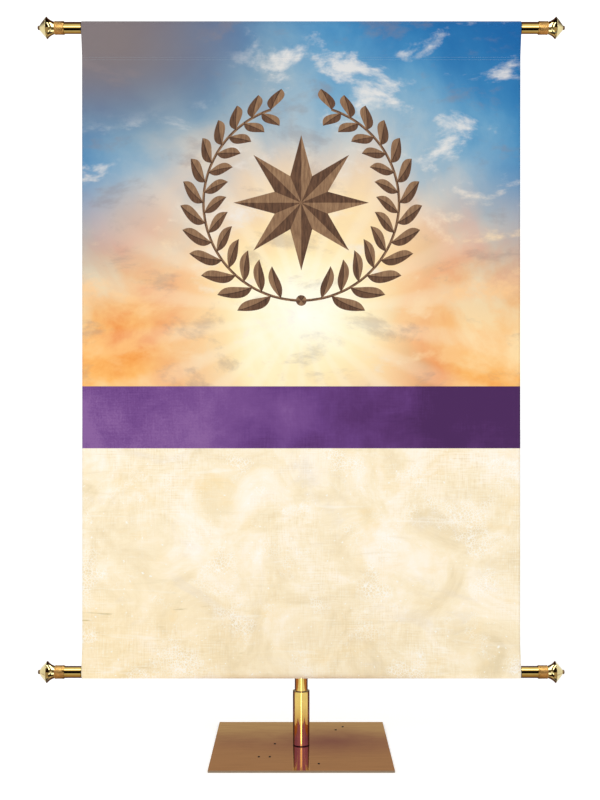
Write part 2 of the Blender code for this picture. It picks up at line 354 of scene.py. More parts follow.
def timber_tone(tree, place, share):
    """Wood brown with a fine grain, from dark at a share of 0 to light at 1."""
    grain_place = add(tree, "Mapping", {"Vector": place, "Scale": (1, 0.16, 1)})
    grain = noise(tree, grain_place, 190.0, 5.0, 0.6)
    tone = math_node(tree, "MULTIPLY_ADD", grain, 0.7, share)
    return ramp(
        add(tree, "ValToRGB", {0: tone}),
        [(0.25, "#35231A"), (0.55, "#6E4E38"), (0.85, "#9C7A5A"), (1.0, "#C0A17C")],
    )


def star_print(tree, place):
    """A pointed star of light and dark halves. Gives its cover and its share of light."""
    across, up, distance = from_centre(tree, place, WREATH_PLACE)
    turn = math_node(tree, "ARCTAN2", across, up)
    sector = math_node(tree, "MULTIPLY_ADD", turn, STAR_POINTS / math.tau, 0.5)
    lean = math_node(tree, "SUBTRACT", math_node(tree, "FRACT", sector), 0.5)
    folded = math_node(tree, "ABSOLUTE", lean)
    angle = math_node(tree, "MULTIPLY", folded, math.tau / STAR_POINTS)
    along = math_node(tree, "MULTIPLY", distance, math_node(tree, "COSINE", angle))
    aside = math_node(tree, "MULTIPLY", distance, math_node(tree, "SINE", angle))
    half = math.pi / STAR_POINTS
    edge = Vector((STAR_IN * math.cos(half) - STAR_OUT, STAR_IN * math.sin(half)))
    normal = Vector((edge.y, -edge.x)).normalized()
    beyond = math_node(tree, "SUBTRACT", along, STAR_OUT)
    beyond = math_node(tree, "MULTIPLY", beyond, normal.x)
    outside = math_node(tree, "MULTIPLY_ADD", aside, normal.y, beyond)
    cover = math_node(tree, "LESS_THAN", outside, 0.0)
    facet = math_node(tree, "GREATER_THAN", lean, 0.0)
    return cover, math_node(tree, "MULTIPLY_ADD", facet, 0.30, 0.10)


def wreath_print(tree, place):
    """Two leafy boughs that rise from a knot at the bottom. Gives their cover and share of light."""
    across, up, distance = from_centre(tree, place, WREATH_PLACE)
    beside = math_node(tree, "ABSOLUTE", across)
    down = math_node(tree, "MULTIPLY", up, -1.0)
    turn = math_node(tree, "ARCTAN2", beside, down)
    run = math_node(tree, "MULTIPLY", turn, WREATH_RADIUS)
    offset = math_node(tree, "SUBTRACT", distance, WREATH_RADIUS)
    off = math_node(tree, "ABSOLUTE", offset)

    pitch = math.pi * WREATH_RADIUS / LEAVES_A_SIDE
    root = math_node(tree, "MULTIPLY_ADD", off, -1 / math.tan(LEAF_LEAN), run)
    inner = math_node(tree, "LESS_THAN", offset, 0.0)
    root = math_node(tree, "MULTIPLY_ADD", inner, pitch / 2, root)
    cell = math_node(tree, "DIVIDE", root, pitch)
    lean = math_node(tree, "SUBTRACT", math_node(tree, "FRACT", cell), 0.5)
    aside = math_node(tree, "MULTIPLY", lean, pitch * math.sin(LEAF_LEAN))
    wide = math_node(tree, "ABSOLUTE", aside)
    along = math_node(tree, "MULTIPLY", off, 1 / math.sin(LEAF_LEAN))
    shrink = smooth(tree, turn, 0.0, math.pi, -0.38 * LEAF_LENGTH)
    share = math_node(tree, "DIVIDE", along, math_node(tree, "ADD", shrink, LEAF_LENGTH))
    bulge = math_node(tree, "SINE", math_node(tree, "MULTIPLY", share, math.pi))
    bulge = math_node(tree, "MULTIPLY", bulge, LEAF_HALF_WIDTH)
    leaf = math_node(tree, "LESS_THAN", wide, bulge)
    for condition in (
        math_node(tree, "LESS_THAN", share, 1.0),
        math_node(tree, "GREATER_THAN", cell, 1.0),
        math_node(tree, "LESS_THAN", cell, LEAVES_A_SIDE - 1.0),
    ):
        leaf = math_node(tree, "MULTIPLY", leaf, condition)

    stem = math_node(tree, "LESS_THAN", off, STEM_HALF_WIDTH)
    ended = math_node(tree, "LESS_THAN", run, (LEAVES_A_SIDE - 1.5) * pitch)
    stem = math_node(tree, "MULTIPLY", stem, ended)
    knot_place = (WREATH_PLACE[0], WREATH_PLACE[1] - WREATH_RADIUS)
    from_knot = from_centre(tree, place, knot_place)[2]
    knot = math_node(tree, "LESS_THAN", from_knot, KNOT_RADIUS)
    cover = math_node(tree, "MAXIMUM", math_node(tree, "MAXIMUM", leaf, stem), knot)
    facet = math_node(tree, "GREATER_THAN", aside, 0.0)
    rib = math_node(tree, "LESS_THAN", wide, RIB_HALF_WIDTH)
    light = math_node(tree, "MULTIPLY_ADD", facet, 0.26, 0.12)
    return cover, math_node(tree, "MULTIPLY_ADD", rib, -0.22, light)


def printed_linen(tree, place, along, across):
    """A crossed grain of uneven printed threads, about 1 on average."""
    rows = add(tree, "Mapping", {"Vector": place, "Scale": (along, across, 1)})
    columns = add(tree, "Mapping", {"Vector": place, "Scale": (across, along, 1)})
    return math_node(tree, "ADD", noise(tree, rows, 1.0, 3.0, 0.7), noise(tree, columns, 1.0, 3.0, 0.7))


def band_print(tree, place, band):
    """Plum ink, lighter and worn towards its left end, with soft clouds and a fine rub."""
    across = add(tree, "SeparateXYZ", {0: place}).outputs["X"]
    broad = noise(tree, place, 7.0, 8.0, 0.66, 0.4)
    end = smooth(tree, across, -CLOTH_WIDTH / 2, CLOTH_WIDTH / 2)
    tone = math_node(tree, "MULTIPLY_ADD", broad, 1.15, end)
    hatch = printed_linen(tree, place, 20, 240)
    rubbed = smooth(tree, noise(tree, place, 2.6, 3.0, 0.5), 0.40, 0.62, 0.34)
    tone = math_node(tree, "MULTIPLY_ADD", hatch, math_node(tree, "ADD", rubbed, 0.16), tone)
    ink_grain = noise(tree, place, 210.0, 3.0, 0.6)
    grained = smooth(tree, across, 0.15, -CLOTH_WIDTH / 2, 0.55)
    tone = math_node(tree, "MULTIPLY_ADD", math_node(tree, "SUBTRACT", ink_grain, 0.5), grained, tone)
    worn = ramp(
        add(tree, "ValToRGB", {0: math_node(tree, "SUBTRACT", tone, 0.80)}),
        [(0.0, "#8A619C"), (0.24, "#764C8C"), (0.5, "#663C7E"), (0.78, "#532A64"), (1.0, "#431D50")],
    )
    return mixed(tree, 0.12, worn, (*band, 1.0))


def parchment_print(tree, place, parchment):
    """Aged cream: pale patches, golden blooms, a printed linen grain and a few dark flecks."""
    split = add(tree, "SeparateXYZ", {0: place})
    height = split.outputs["Y"]
    patches = noise(tree, place, 6.5, 9.0, 0.66, 0.7)
    aged = math_node(tree, "MULTIPLY_ADD", smooth(tree, height, 0.16, 0.66), 0.07, patches)
    tone = ramp(
        add(tree, "ValToRGB", {0: aged}),
        [(0.34, "#E2CFA8"), (0.45, "#F1DFBA"), (0.54, "#F9EACA"), (0.62, "#FEF2DC"), (0.72, "#FFF8EC")],
    )
    shifted = add(tree, "Mapping", {"Vector": place, "Location": (7.3, 2.1, 0), "Scale": (1, 1.6, 1)})
    bloom = noise(tree, shifted, 5.0, 9.0, 0.64, 1.0)
    golden = smooth(tree, bloom, 0.50, 0.74, 0.62)
    corner = smooth(tree, split.outputs["X"], 0.05, -CLOTH_WIDTH / 2)
    corner = math_node(tree, "MULTIPLY", corner, smooth(tree, height, 0.52, 0.20))
    golden = math_node(tree, "MAXIMUM", golden, math_node(tree, "MULTIPLY", corner, 0.45))
    tone = mixed(tree, golden, tone, rgba("#F7DA9E"))
    grey = smooth(tree, bloom, 0.46, 0.30, 0.5)
    tone = mixed(tree, grey, tone, rgba("#E6DACA"))

    linen = printed_linen(tree, place, 22, 300)
    shown = smooth(tree, noise(tree, place, 3.4, 4.0, 0.6), 0.38, 0.62, 0.55)
    dark_thread = math_node(tree, "MULTIPLY", smooth(tree, linen, 1.02, 0.70), shown)
    tone = mixed(tree, dark_thread, tone, rgba("#DFC795"))
    pale_thread = math_node(tree, "MULTIPLY", smooth(tree, linen, 1.0, 1.25), shown)
    tone = mixed(tree, pale_thread, tone, rgba("#FFFCF4"))

    folds = add(tree, "Mapping", {"Vector": place, "Location": (0.9, 0.6, 0), "Scale": (5, 46, 1)})
    ridges = noise(tree, folds, 1.0, 5.0, 0.6, 0.9)
    tone = mixed(tree, smooth(tree, ridges, 0.42, 0.28, 0.30), tone, rgba("#E0CEA4"))
    tone = mixed(tree, smooth(tree, ridges, 0.58, 0.72, 0.45), tone, rgba("#FFFAF0"))
    cells = add(tree, "TexVoronoi", {"Vector": place, "Scale": 150.0}, feature="DISTANCE_TO_EDGE")
    crackle = cells.outputs["Distance"]
    cracked = smooth(tree, noise(tree, place, 8.0, 4.0, 0.6), 0.50, 0.64, 0.75)
    lines = math_node(tree, "MULTIPLY", smooth(tree, crackle, 0.12, 0.02), cracked)
    tone = mixed(tree, lines, tone, rgba("#FFFEFA"))

    creases = add(tree, "Mapping", {"Vector": place, "Location": (1.7, 0.3, 0), "Scale": (8, 90, 1)})
    fleck = smooth(tree, noise(tree, creases, 1.0, 3.0, 0.6, 0.5), 0.66, 0.76, 0.80)
    fleck = math_node(tree, "MULTIPLY", fleck, smooth(tree, corner, 0.02, 0.30))
    tone = mixed(tree, fleck, tone, rgba("#B8A05C"))
    crumbs = smooth(tree, noise(tree, place, 105.0, 2.0, 0.5), 0.66, 0.74, 0.8)
    tone = mixed(tree, crumbs, tone, rgba("#FFFDF8"))
    return mixed(tree, 0.15, tone, (*parchment, 1.0))


def whole_print(tree, place, cloth):
    """The picture, the band and the parchment panel, laid one under another."""
    height = add(tree, "SeparateXYZ", {0: place}).outputs["Y"]
    picture = sky_print(tree, place)
    for cover, share in (wreath_print(tree, place), star_print(tree, place)):
        picture = mixed(tree, cover, picture, timber_tone(tree, place, share))
    above_band = math_node(tree, "GREATER_THAN", height, BAND_TOP)
    above_panel = math_node(tree, "GREATER_THAN", height, BAND_BOTTOM)
    panel = parchment_print(tree, place, cloth.parchment)
    lower = mixed(tree, above_panel, panel, band_print(tree, place, cloth.band))
    return mixed(tree, above_band, lower, picture)


def weave_bump(tree, place, thread):
    """The weave's relief, drawn coarser than real threads so that it shows close up."""
    pattern = {"Vector": place, "Scale": math.tau / 20 / thread}
    warp = add(tree, "TexWave", pattern, bands_direction="X").outputs["Fac"]
    weft = add(tree, "TexWave", pattern, bands_direction="Y").outputs["Fac"]
    relief = math_node(tree, "MULTIPLY", warp, weft)
    return add(tree, "Bump", {"Strength": 0.25, "Distance": 0.15 * MM, "Height": relief})


def printed_polyester(cloth):
    """Woven polyester with dye-printed colours: matt, with a faint sheen where it turns away."""
    material, tree, shader = new_material(
        "printed_polyester", Roughness=0.82, Sheen_Weight=0.12, Sheen_Roughness=0.5, Specular_IOR_Level=0.25
    )
    place = print_place(tree)
    feed(tree, shader.inputs["Base Color"], whole_print(tree, place, cloth))
    feed(tree, shader.inputs["Normal"], weave_bump(tree, place, cloth.thread))
    return material


def reverse_polyester(cloth):
    """The side with no ink: off-white, with the print just showing through."""
    material, tree, shader = new_material(
        "reverse_polyester", Roughness=0.85, Sheen_Weight=0.12, Sheen_Roughness=0.5, Specular_IOR_Level=0.25
    )
    place = print_place(tree)
    through = mixed(tree, 0.16, (*cloth.reverse, 1.0), whole_print(tree, place, cloth))
    feed(tree, shader.inputs["Base Color"], through)
    feed(tree, shader.inputs["Normal"], weave_bump(tree, place, cloth.thread))
    return material


def sewing_thread():
    """Spun polyester thread, dyed to go with the print: greyed blue above and cream below."""
    material, tree, shader = new_material("sewing_thread", Roughness=0.6, Sheen_Weight=0.2)
    place = add(tree, "TexCoord").outputs["Object"]
    height = add(tree, "SeparateXYZ", {0: place}).outputs["Z"]
    upper = math_node(tree, "GREATER_THAN", height, BAND_TOP)
    dyed = mixed(tree, upper, rgba("#F4E4C2"), rgba("#7C93A3"))
    twist = smooth(tree, noise(tree, place, 900.0, 2.0), 0.3, 0.7, 0.3)
    feed(tree, shader.inputs["Base Color"], mixed(tree, twist, dyed, rgba("#FFFFFF")))
    return material


# The metals


def metal_surface(tree, shader, place, roughness, rub, grain, relief, dull=0.0):
    """Fine wipe marks along one direction, in the gloss and the relief. Where dull is 1, no gloss is left."""
    lines = add(tree, "Mapping", {"Vector": place, "Scale": grain})
    marks = noise(tree, lines, 1.0, 4.0, 0.7)
    inputs = {
        "Value": marks,
        "From Min": 0.3,
        "From Max": 0.7,
        "To Min": max(0.02, roughness - rub),
        "To Max": roughness + rub,
    }
    gloss = add(tree, "MapRange", inputs)
    feed(tree, shader.inputs["Roughness"], math_node(tree, "MAXIMUM", gloss, dull))
    bump = add(tree, "Bump", {"Strength": relief, "Distance": 0.02 * MM, "Height": marks})
    feed(tree, shader.inputs["Normal"], bump)


def brass(
    name,
    colour,
    roughness,
    cloud_mm=40,
    change=0.06,
    rub=0.03,
    grain=(260, 260, 260),
    relief=0.1,
    lacquer=0.0,
    dark=(),
):
    """Brass whose colour drifts a little, with fine wipe marks in its gloss.

    Where dark is given as (axis, from, to), painted shade darkens the metal between these places.
    """
    material, tree, shader = new_material(name, Metallic=1.0, Coat_Weight=lacquer)
    place = add(tree, "TexCoord").outputs["Object"]
    cloud = noise(tree, place, 1 / (cloud_mm * MM), 5.0, 0.6)
    darker = tuple(c * (1 - 3 * change) for c in colour)
    tone = mixed(tree, smooth(tree, cloud, 0.35, 0.65), (*darker, 1.0), (*colour, 1.0))
    split = add(tree, "SeparateXYZ", {0: place})
    # Painted shade: each dark band blends the metal towards the shade colour
    for axis, low, high in dark:
        along = math_node(tree, "ABSOLUTE", split.outputs[axis])
        inside = math_node(tree, "ABSOLUTE", math_node(tree, "SUBTRACT", along, (low + high) / 2))
        shade = smooth(tree, inside, (high - low) / 2 + PAINTED_SHADE_EDGE, (high - low) / 2, 0.85)
        tone = mixed(tree, shade, tone, rgba(PAINTED_SHADE))
    feed(tree, shader.inputs["Base Color"], tone)
    metal_surface(tree, shader, place, roughness, rub, grain, relief)
    return material


def bronze_plate(colour):
    """Bronzed sheet, plum beside the socket, with six specks; a painted reflection makes it golden at the
    back and browner in front.
    """
    material, tree, shader = new_material("bronzed_plate", Metallic=1.0)
    place = add(tree, "TexCoord").outputs["Object"]
    split = add(tree, "SeparateXYZ", {0: place})
    cloud = noise(tree, place, 11.0, 6.0, 0.6)
    # Painted reflection: lighter and more golden towards the back, browner in front
    forward = math_node(tree, "MULTIPLY_ADD", cloud, 0.16, split.outputs["Y"])
    front = smooth(tree, forward, 0.24, 0.06)
    tone = mixed(tree, front, rgba(PLATE_PAINTED_REFLECTION), (*colour, 1.0))
    rubbed = add(tree, "Mapping", {"Vector": place, "Scale": (9, 120, 1)})
    streaks = smooth(tree, noise(tree, rubbed, 1.0, 5.0, 0.7), 0.32, 0.68, 0.30)
    tone = mixed(tree, streaks, tone, rgba(PLATE_STREAKS))
    for centre, reach, strength in PLUM_PATCHES:
        offset = add(tree, "VectorMath", {0: place, 1: centre}, operation="SUBTRACT")
        away = add(tree, "VectorMath", {0: offset, 1: (1.0, 1.5, 0.0)}, operation="MULTIPLY")
        away = add(tree, "VectorMath", {0: away}, operation="LENGTH").outputs["Value"]
        away = math_node(tree, "MULTIPLY_ADD", cloud, 0.10, away)
        tone = mixed(tree, smooth(tree, away, reach, 0.0, strength), tone, rgba(PLATE_PLUM))
    speck = 0.0
    for x, y in SPECKS:
        offset = add(tree, "VectorMath", {0: place, 1: (x, y, 0)}, operation="SUBTRACT")
        away = add(tree, "VectorMath", {0: offset, 1: (1.0, 0.5, 0.0)}, operation="MULTIPLY")
        away = add(tree, "VectorMath", {0: away}, operation="LENGTH").outputs["Value"]
        speck = math_node(tree, "MAXIMUM", smooth(tree, away, SPECK_RADIUS, 0.6 * SPECK_RADIUS), speck)
    tone = mixed(tree, speck, tone, rgba(PLATE_SPECKS))
    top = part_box("base_plate")[1].z
    edge = smooth(tree, split.outputs["Z"], top - 0.01 * MM, top - 0.12 * MM)
    tone = mixed(tree, edge, tone, rgba(PLATE_CUT_EDGE))
    dull = math_node(tree, "MAXIMUM", speck, edge)
    feed(tree, shader.inputs["Base Color"], tone)
    feed(tree, shader.inputs["Metallic"], math_node(tree, "SUBTRACT", 1.0, dull))
    feed(tree, shader.inputs["Specular IOR Level"], 0.1)
    metal_surface(tree, shader, place, 0.06, 0.025, (60, 420, 420), 0.12, dull)
    return material


# Shapes


def piece_from(shape, name, material, body, slot, *nodes, smooth_below=35, keep=False):
    """Makes a bmesh the named piece, which rides on a body and stands for the solids it replaces."""
    if not keep:
        bmesh.ops.remove_doubles(shape, verts=shape.verts, dist=1e-6)
        bmesh.ops.recalc_face_normals(shape, faces=shape.faces)
    mesh = bpy.data.meshes.new(name)
    shape.to_mesh(mesh)
    shape.free()
    mesh.shade_smooth()
    mesh.set_sharp_from_angle(angle=math.radians(smooth_below))
    for each in material if isinstance(material, (list, tuple)) else [material]:
        mesh.materials.append(each)
    piece = bpy.data.objects.new(name, mesh)
    bpy.context.scene.collection.objects.link(piece)
    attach(piece, body)
    if nodes:
        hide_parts(*nodes)
    if not keep:
        piece.modifiers.new("normals", "WEIGHTED_NORMAL").keep_sharp = True
    return piece


def turned(profile, axis, steps, centre=(0, 0, 0), ring=False):
    """Spins a profile of (distance along the axis, radius) points round an axis through a centre."""
    turn = {
        "X": Matrix.Rotation(math.radians(90), 3, "Y"),
        "-X": Matrix.Rotation(math.radians(-90), 3, "Y"),
        "Y": Matrix.Rotation(math.radians(-90), 3, "X"),
        "Z": Matrix.Identity(3),
    }[axis]
    shape = bmesh.new()
    corners = [shape.verts.new((radius, 0, along)) for along, radius in profile]
    pairs = list(zip(corners, corners[1:]))
    if ring:
        pairs.append((corners[-1], corners[0]))
    edges = [shape.edges.new(pair) for pair in pairs]
    bmesh.ops.spin(
        shape,
        geom=corners + edges,
        cent=(0, 0, 0),
        axis=(0, 0, 1),
        angle=math.tau,
        steps=steps,
        use_merge=True,
    )
    bmesh.ops.rotate(shape, verts=shape.verts, cent=(0, 0, 0), matrix=turn)
    bmesh.ops.translate(shape, verts=shape.verts, vec=centre)
    return shape


def cut_hole(piece, shape):
    """Cuts a closed shape out of a piece and keeps only the result."""
    mesh = bpy.data.meshes.new("cutter")
    shape.to_mesh(mesh)
    shape.free()
    cutter = bpy.data.objects.new("cutter", mesh)
    bpy.context.scene.collection.objects.link(cutter)
    modifier = piece.modifiers.new("hole", "BOOLEAN")
    modifier.operation = "DIFFERENCE"
    modifier.solver = "EXACT"
    modifier.object = cutter
    bpy.context.view_layer.update()
    evaluated = piece.evaluated_get(bpy.context.evaluated_depsgraph_get())
    cut_mesh = bpy.data.meshes.new_from_object(evaluated)
    piece.modifiers.clear()
    piece.data = cut_mesh
    bpy.data.objects.remove(cutter)
    bpy.data.meshes.remove(mesh)


# The cloth


def tangent_turn(foot, radius, side):
    """The angle at which a straight run from a foot below the rod meets the sleeve's round."""
    away = math.hypot(*foot)
    return math.atan2(foot[1], foot[0]) + side * math.acos(radius / away)


def sleeve_line(steps=40):
    """The middle of the cloth, from its front run over a rod and down to the end of its hem.

    The points are (y, z) from the rod's axis.
    """
    front = (0.0, -SEAM_DROP)
    back = (SOLID_CLOTH, -SEAM_DROP)
    start = tangent_turn(front, SLEEVE_RADIUS, -1)
    end = tangent_turn(back, SLEEVE_RADIUS, 1) - math.tau
    round_part = [
        (
            SLEEVE_RADIUS * math.cos(start + (end - start) * step / steps),
            SLEEVE_RADIUS * math.sin(start + (end - start) * step / steps),
        )
        for step in range(steps + 1)
    ]
    straight = 8
    front_run = [
        tuple(front[i] + (round_part[0][i] - front[i]) * step / straight for i in (0, 1))
        for step in range(straight)
    ]
    back_run = [
        tuple(round_part[-1][i] + (back[i] - round_part[-1][i]) * step / straight for i in (0, 1))
        for step in range(1, straight + 1)
    ]
    hem = [(SOLID_CLOTH, -SEAM_DROP - HEM * share) for share in (0.5, 1.0)]
    return front_run + round_part + back_run + hem


class ClothPath:
    """The whole line of the cloth from hem to hem, with the length run at each point.

    Heights along the cloth equal heights above the floor on the flat panel.
    """

    def __init__(self, row=8 * MM):
        sleeve = sleeve_line()
        bottom = [(ROD_Y + y, BOTTOM_ROD_Z - z) for y, z in reversed(sleeve)]
        top = [(ROD_Y + y, TOP_ROD_Z + z) for y, z in sleeve]
        low, high = bottom[-1][1], top[0][1]
        rows = round((high - low) / row)
        panel = [(ROD_Y, low + (high - low) * step / rows) for step in range(1, rows)]
        self.points = bottom + panel + top
        self.runs = [0.0]
        for here, there in zip(self.points, self.points[1:]):
            self.runs.append(self.runs[-1] + math.dist(here, there))
        self.length = self.runs[-1]
        self.start = low - self.runs[len(bottom) - 1]


CLOTH_PATH = ClothPath()


def hang(x, z, unevenness):
    """How far the panel strays from flat at a place, fading out where the sleeves hold it."""
    low = BOTTOM_ROD_Z + SEAM_DROP
    high = TOP_ROD_Z - SEAM_DROP
    if not low < z < high:
        return 0.0
    held = min(z - low, high - z) / 0.22
    hold = min(1.0, held) ** 2 * (3 - 2 * min(1.0, held))
    across = x / CLOTH_WIDTH
    wave = (
        0.50 * math.sin(math.tau * (1.7 * across + 0.21 * z) + 0.4)
        + 0.34 * math.sin(math.tau * (3.1 * across - 0.37 * z) + 2.1)
        + 0.16 * math.sin(math.tau * (5.3 * across + 0.6 * z) + 4.0)
    )
    pucker = 0.22 * math.sin(math.tau * x / 0.047 + 3 * math.sin(9 * x))
    near_seam = math.exp(-min(z - low, high - z) / 0.018)
    return unevenness * (hold * wave + (1 - math.exp(-min(z - low, high - z) / 0.004)) * near_seam * pucker)


def cloth_shape(cloth):
    """Sweeps the cloth's line across its width, cuts the notch, and lays its map."""
    columns = 164
    shape = bmesh.new()
    run = shape.verts.layers.float.new("run")
    line = [shape.verts.new((CLOTH_LOW.x, y, z)) for y, z in CLOTH_PATH.points]
    for vert, distance in zip(line, CLOTH_PATH.runs):
        vert[run] = distance
    edges = [shape.edges.new(pair) for pair in zip(line, line[1:])]
    bmesh.ops.spin(
        shape,
        geom=line + edges,
        cent=(0, 0, 0),
        axis=(1, 0, 0),
        dvec=(CLOTH_WIDTH / columns, 0, 0),
        angle=0,
        steps=columns,
    )
    for centre, direction in (
        ((-NOTCH_HALF, 0, 0), (1, 0, 0)),
        ((NOTCH_HALF, 0, 0), (1, 0, 0)),
        ((0, 0, TOP_ROD_Z - NOTCH_HALF), (0, 0, 1)),
        ((0, 0, TOP_ROD_Z + NOTCH_HALF), (0, 0, 1)),
    ):
        geom = list(shape.verts) + list(shape.edges) + list(shape.faces)
        bmesh.ops.bisect_plane(shape, geom=geom, plane_co=centre, plane_no=direction)
    notched = [
        face
        for face in shape.faces
        if abs(face.calc_center_median().x) < NOTCH_HALF
        and abs(face.calc_center_median().z - TOP_ROD_Z) < NOTCH_HALF
        and face.calc_center_median().y > ROD_Y
    ]
    bmesh.ops.delete(shape, geom=notched, context="FACES")
    cloth_map = shape.loops.layers.uv.new("cloth")
    for face in shape.faces:
        for loop in face.loops:
            share = (loop.vert.co.x - CLOTH_LOW.x) / CLOTH_WIDTH
            loop[cloth_map].uv = (share, loop.vert[run] / CLOTH_PATH.length)
    panel = next(
        face
        for face in shape.faces
        if abs(face.calc_center_median().z - BAND_TOP) < 0.01 and abs(face.normal.y) > 0.9
    )
    if panel.normal.y > 0:
        bmesh.ops.reverse_faces(shape, faces=shape.faces)
    for vert in shape.verts:
        vert.co.y += hang(vert.co.x, vert.co.z, cloth.unevenness)
    return shape


def stitch_shape(cloth):
    """Two rows of small stitches at each seam, on the face and on the hem behind it."""
    whole = bmesh.new()
    count = int(CLOTH_WIDTH / cloth.stitch) - 1
    first = -(count - 1) * cloth.stitch / 2
    face_y = ROD_Y - cloth.thickness / 2
    hem_y = ROD_Y + SOLID_CLOTH + cloth.thickness / 2
    for seam, away in ((TOP_ROD_Z - SEAM_DROP, -1), (BOTTOM_ROD_Z + SEAM_DROP, 1)):
        for row in (1.5 * MM, 7.5 * MM):
            for y in (face_y, hem_y):
                one = bmesh.new()
                bmesh.ops.create_icosphere(one, subdivisions=1, radius=1.0)
                bmesh.ops.scale(
                    one, verts=one.verts, vec=(0.42 * cloth.stitch, 0.25 * MM, 0.25 * MM)
                )
                bmesh.ops.translate(one, verts=one.verts, vec=(first, y, seam + away * row))
                bmesh.ops.spin(
                    one,
                    geom=list(one.verts) + list(one.edges) + list(one.faces),
                    cent=(0, 0, 0),
                    axis=(1, 0, 0),
                    dvec=(cloth.stitch, 0, 0),
                    angle=0,
                    steps=count - 1,
                    use_duplicate=True,
                )
                row_mesh = bpy.data.meshes.new("row")
                one.to_mesh(row_mesh)
                one.free()
                whole.from_mesh(row_mesh)
                bpy.data.meshes.remove(row_mesh)
    for vert in whole.verts:
        vert.co.y += hang(vert.co.x, vert.co.z, cloth.unevenness)
    return whole


class BANNER_OT_cloth(bpy.types.Operator):
    """Makes the printed cloth with its sleeves, and the stitches that close them"""

    bl_idname = "banner.cloth"
    bl_label = "Printed cloth"
    bl_options = {"REGISTER", "UNDO"}

    def execute(self, context):
        cloth = context.scene.banner_cloth
        finishes = [printed_polyester(cloth), reverse_polyester(cloth)]
        sheet = piece_from(
            cloth_shape(cloth), "printed_cloth", finishes, UPRIGHT, "printed_cloth", "banner_cloth", keep=True
        )
        wall = sheet.modifiers.new("thickness", "SOLIDIFY")
        wall.thickness = cloth.thickness
        wall.offset = 0.0
        wall.material_offset = 1
        stitches = piece_from(
            stitch_shape(cloth), "seam_stitches", sewing_thread(), UPRIGHT, "printed_cloth", keep=True
        )
        return {"FINISHED"}


class BANNER_OT_rods(bpy.types.Operator):
    """Makes the two polished tubes that the cloth hangs on"""

    bl_idname = "banner.rods"
    bl_label = "Rods"
    bl_options = {"REGISTER", "UNDO"}

    def execute(self, context):
        # Painted shade: the rods darken where they go into the cloth's sleeves
        mouth = ("X", CLOTH_WIDTH / 2 - 10 * MM, CLOTH_WIDTH / 2 + 1.6 * MM)
        polished = context.scene.banner_brass.polished
        metal = brass("polished_brass_rod", polished, 0.03, rub=0.01, lacquer=0.6, dark=[mouth])
        wall = TUBE_WALL
        ease = 0.4 * MM
        profile = [
            (-ROD_END_X, ROD_RADIUS - wall),
            (-ROD_END_X, ROD_RADIUS - ease),
            (-ROD_END_X + ease, ROD_RADIUS),
            (ROD_END_X - ease, ROD_RADIUS),
            (ROD_END_X, ROD_RADIUS - ease),
            (ROD_END_X, ROD_RADIUS - wall),
        ]
        for node, height in (("top_rod", TOP_ROD_Z), ("bottom_rod", BOTTOM_ROD_Z)):
            tube = turned(profile, "X", 96, (0, ROD_Y, height), ring=True)
            rod = piece_from(tube, node + "_tube", metal, UPRIGHT, "polished_brass", node)
            if node == "top_rod":
                hole = [(0, 0), (0, BOLT_RADIUS), (2 * ROD_RADIUS, BOLT_RADIUS), (2 * ROD_RADIUS, 0)]
                cut_hole(rod, turned(hole, "Y", 24, (0, ROD_Y, TOP_ROD_Z)))
        return {"FINISHED"}


def collar_shape(side, height, knurl):
    """A ring with plain bead edges and a band of crossed grooves between them."""
    low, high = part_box("top_right_collar")
    length = high.x - low.x
    outside = (high.z - low.z) / 2
    bore = ROD_RADIUS + 0.3 * MM
    bead = 2.6 * MM
    lead = 1.6 * MM
    rows = 44
    knurled_from = lead + bead
    knurled_to = length - bead - 0.8 * MM
    band = [
        (knurled_from + (knurled_to - knurled_from) * step / rows, outside - 0.35 * MM)
        for step in range(rows + 1)
    ]
    profile = [
        (0, bore),
        (0, bore + 0.4 * MM),
        (lead, outside - 0.1 * MM),
        (lead + 0.5 * MM, outside),
        (knurled_from - 0.6 * MM, outside),
        (knurled_from - 0.25 * MM, outside - 0.5 * MM),
        *band,
        (knurled_to + 0.25 * MM, outside - 0.5 * MM),
        (knurled_to + 0.6 * MM, outside),
        (length - 0.8 * MM, outside),
        (length, outside - 0.8 * MM),
        (length, bore),
    ]
    around = round(math.tau * outside / knurl)
    steps = 4 * around
    shape = turned(profile, "X" if side > 0 else "-X", steps, ring=True)
    grooves = (knurled_to - knurled_from) / knurl
    for vert in shape.verts:
        along = abs(vert.co.x)
        radius = math.hypot(vert.co.y, vert.co.z)
        if knurled_from - 1e-6 < along < knurled_to + 1e-6 and radius > bore + 0.5 * MM:
            share = (along - knurled_from) / (knurled_to - knurled_from)
            turn = math.atan2(vert.co.z, vert.co.y) * around / 2
            slide = math.pi * grooves * share / 2
            rise = abs(math.sin(turn + slide)) * abs(math.sin(turn - slide))
            grow = 1 + 0.16 * MM * (rise - 0.35) / radius
            vert.co.y *= grow
            vert.co.z *= grow
    place = low.x if side > 0 else -low.x
    bmesh.ops.translate(shape, verts=shape.verts, vec=(place, ROD_Y, height))
    return shape


